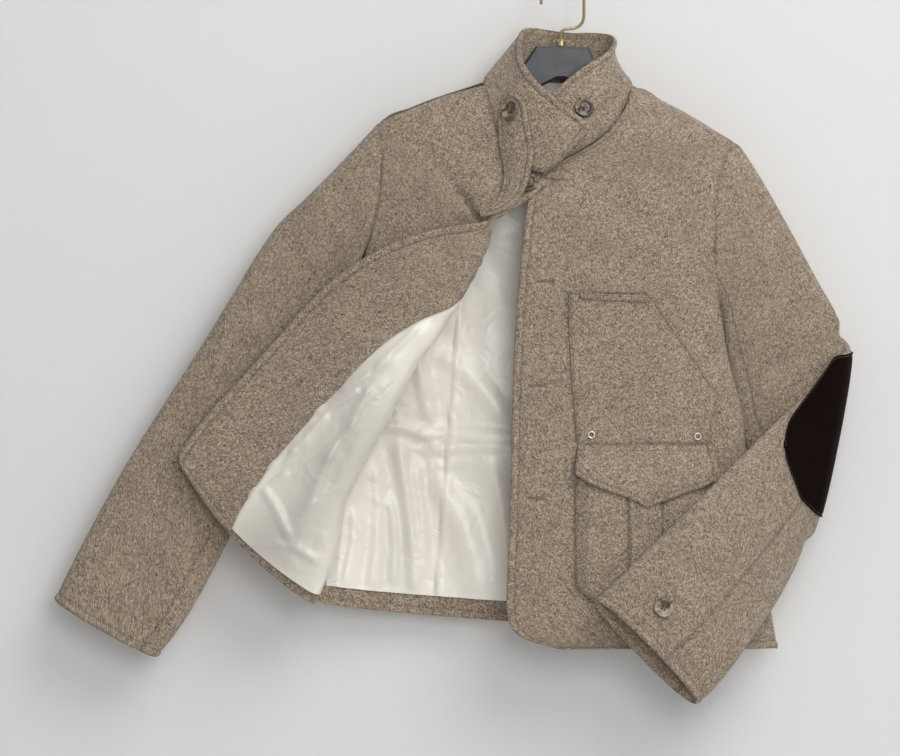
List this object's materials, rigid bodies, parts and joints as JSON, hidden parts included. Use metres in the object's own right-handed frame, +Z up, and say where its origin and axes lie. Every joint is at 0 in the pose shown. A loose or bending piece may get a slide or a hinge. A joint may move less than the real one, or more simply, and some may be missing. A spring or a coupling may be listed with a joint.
{
  "type": "tweed work jacket on a hanger",
  "caption": "Hip-length tweed work jacket with stand collar and suede elbow patches, one front folded open and one sleeve folded across, hanging on a plastic hanger.",
  "frame": {"origin": "inner top of the hanger hook's arc, where it rests on a rail or wall hook", "axes": "+Z up, +X towards the wearer's left side, which is the viewer's right, +Y towards the wall behind the back"},
  "size_m": [0.8604, 0.1144, 0.7874],
  "materials": {
    "tweed": "matt wool tweed, flecked",
    "satin_lining": "soft satin",
    "suede": "napped suede",
    "horn": "polished horn",
    "eyelet_metal": "antiqued",
    "hanger_plastic": "moulded",
    "hook_brass": "polished"
  },
  "bodies": {
    "root": {"back": "tweed", "back_lining": "satin_lining", "left_front": "tweed", "right_front": "tweed", "right_facing": "tweed", "right_front_lining": "satin_lining", "right_sleeve_top": "tweed", "right_sleeve_under": "tweed", "left_sleeve_top": "tweed", "left_sleeve_under": "tweed", "left_elbow_patch": "suede", "right_elbow_patch": "suede", "collar": "tweed", "throat_tab": "tweed", "pocket_panel": "tweed", "pocket_welt": "tweed", "pocket_flap": "tweed", "pocket_bag": "tweed", "collar_tab_button": "horn", "collar_left_button": "horn", "neck_button": "horn", "front_button_2": "horn", "front_button_3": "horn", "front_button_4": "horn", "left_cuff_button": "horn", "right_cuff_button": "horn", "pocket_eyelet_right": "eyelet_metal", "pocket_eyelet_left": "eyelet_metal", "hanger_body": "hanger_plastic", "hanger_ferrule": "hook_brass", "hanger_hook": "hook_brass"}
  },
  "joints": []
}
